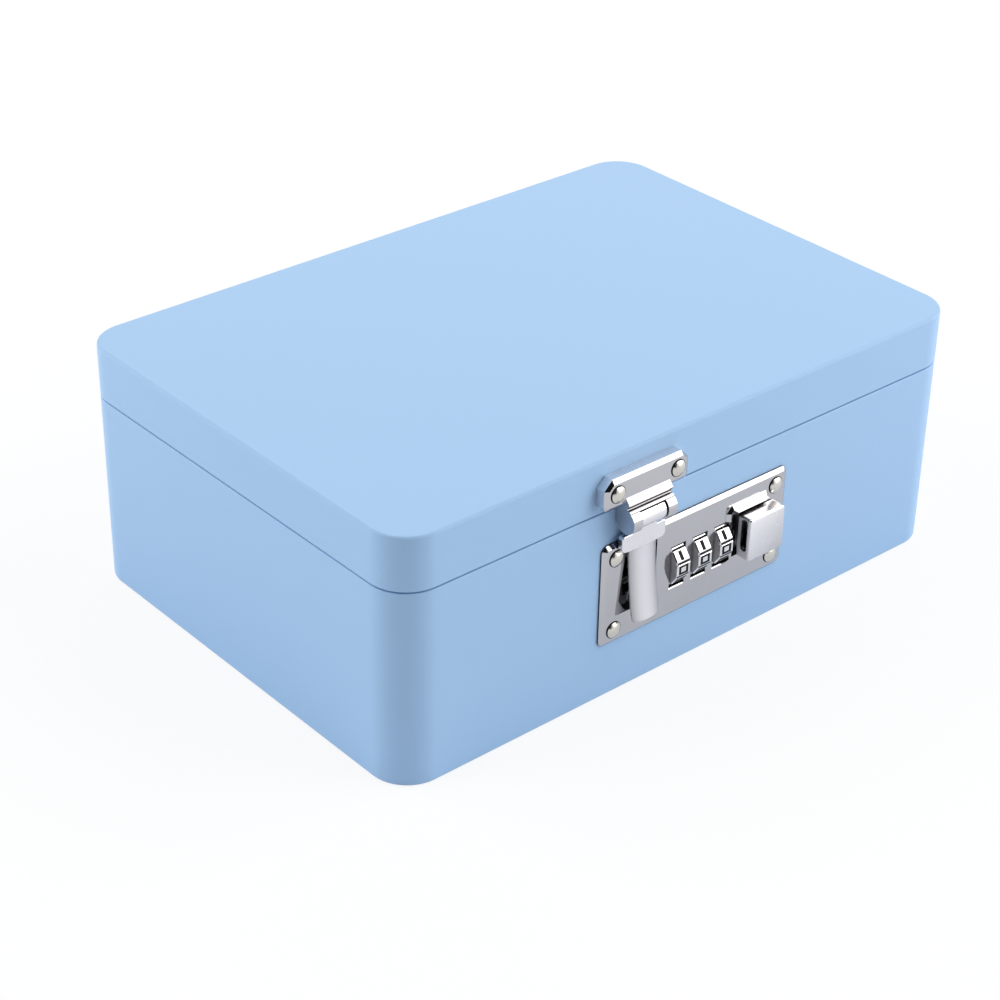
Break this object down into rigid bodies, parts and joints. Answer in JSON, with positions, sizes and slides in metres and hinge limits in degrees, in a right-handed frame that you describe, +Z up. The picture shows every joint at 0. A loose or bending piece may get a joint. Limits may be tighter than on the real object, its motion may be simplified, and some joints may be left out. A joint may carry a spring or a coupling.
{
  "type": "medication lock box",
  "caption": "Small painted steel box with a flush rear-hinged lid and a riveted combination hasp lock with code wheels and a sliding release button.",
  "frame": {"origin": "middle of the flat bottom of the box, without the lock and the hinges", "axes": "+X along the front to the right as seen from the front, -Y out of the front with the lock, +Z up"},
  "size_m": [0.195, 0.1462, 0.072],
  "materials": {
    "blue_paint": "satin",
    "chrome": "polished",
    "satin_metal": "satin",
    "steel": "zinc plated, satin",
    "spring_steel": "dark drawn wire and strip"
  },
  "bodies": {
    "body": {"body_tub": "blue_paint", "lock_plate": "chrome", "plate_rivet_1": "chrome", "plate_rivet_2": "chrome", "plate_rivet_3": "chrome", "plate_rivet_4": "chrome", "lock_case": "steel", "lock_cover": "steel", "cover_screw_1": "steel", "cover_screw_2": "steel", "detent_spring": "spring_steel", "shaft_spring": "spring_steel", "hinge_left_body_leaf": "steel", "hinge_left_pin": "steel", "hinge_left_body_rivet_1": "steel", "hinge_left_body_rivet_2": "steel", "hinge_right_body_leaf": "steel", "hinge_right_pin": "steel", "hinge_right_body_rivet_1": "steel", "hinge_right_body_rivet_2": "steel"},
    "lid": {"lid_shell": "blue_paint", "hasp_plate": "chrome", "hasp_rivet_1": "chrome", "hasp_rivet_2": "chrome", "hasp_backing_plate": "steel", "hasp_pin": "steel", "hinge_left_lid_leaf": "steel", "hinge_left_lid_rivet_1": "steel", "hinge_left_lid_rivet_2": "steel", "hinge_right_lid_leaf": "steel", "hinge_right_lid_rivet_1": "steel", "hinge_right_lid_rivet_2": "steel"},
    "hasp": {"hasp_arm": "satin_metal", "hasp_spring": "spring_steel"},
    "wheel_1": {"dial_1": "chrome", "code_sleeve_1": "steel"},
    "wheel_2": {"dial_2": "chrome", "code_sleeve_2": "steel"},
    "wheel_3": {"dial_3": "chrome", "code_sleeve_3": "steel"},
    "slider": {"button_cap": "satin_metal", "dial_shaft": "steel", "shaft_clip": "spring_steel", "catch_slide": "steel", "slide_spring": "spring_steel"}
  },
  "joints": [
    {"name": "lid_hinge", "type": "hinge", "parent": "body", "child": "lid", "pos_m": [0, 0.0697, 0.0566], "axis": [-1, 0, 0], "range_deg": [0, 100]},
    {"name": "hasp_hinge", "type": "hinge", "parent": "lid", "child": "hasp", "pos_m": [-0.0218, -0.0712, 0.0542], "axis": [-1, 0, 0], "range_deg": [0, 110]},
    {"name": "wheel_1_turn", "type": "hinge", "parent": "body", "child": "wheel_1", "pos_m": [-0.00725, -0.0651, 0.0316], "axis": [1, 0, 0], "continuous": true},
    {"name": "wheel_2_turn", "type": "hinge", "parent": "body", "child": "wheel_2", "pos_m": [0.00055, -0.0651, 0.0316], "axis": [1, 0, 0], "continuous": true},
    {"name": "wheel_3_turn", "type": "hinge", "parent": "body", "child": "wheel_3", "pos_m": [0.00835, -0.0651, 0.0316], "axis": [1, 0, 0], "continuous": true},
    {"name": "button_slide", "type": "slide", "parent": "body", "child": "slider", "axis": [-1, 0, 0], "range_m": [0, 0.002], "stiffness_N_per_m": 200, "deforming": ["slide_spring"]}
  ]
}
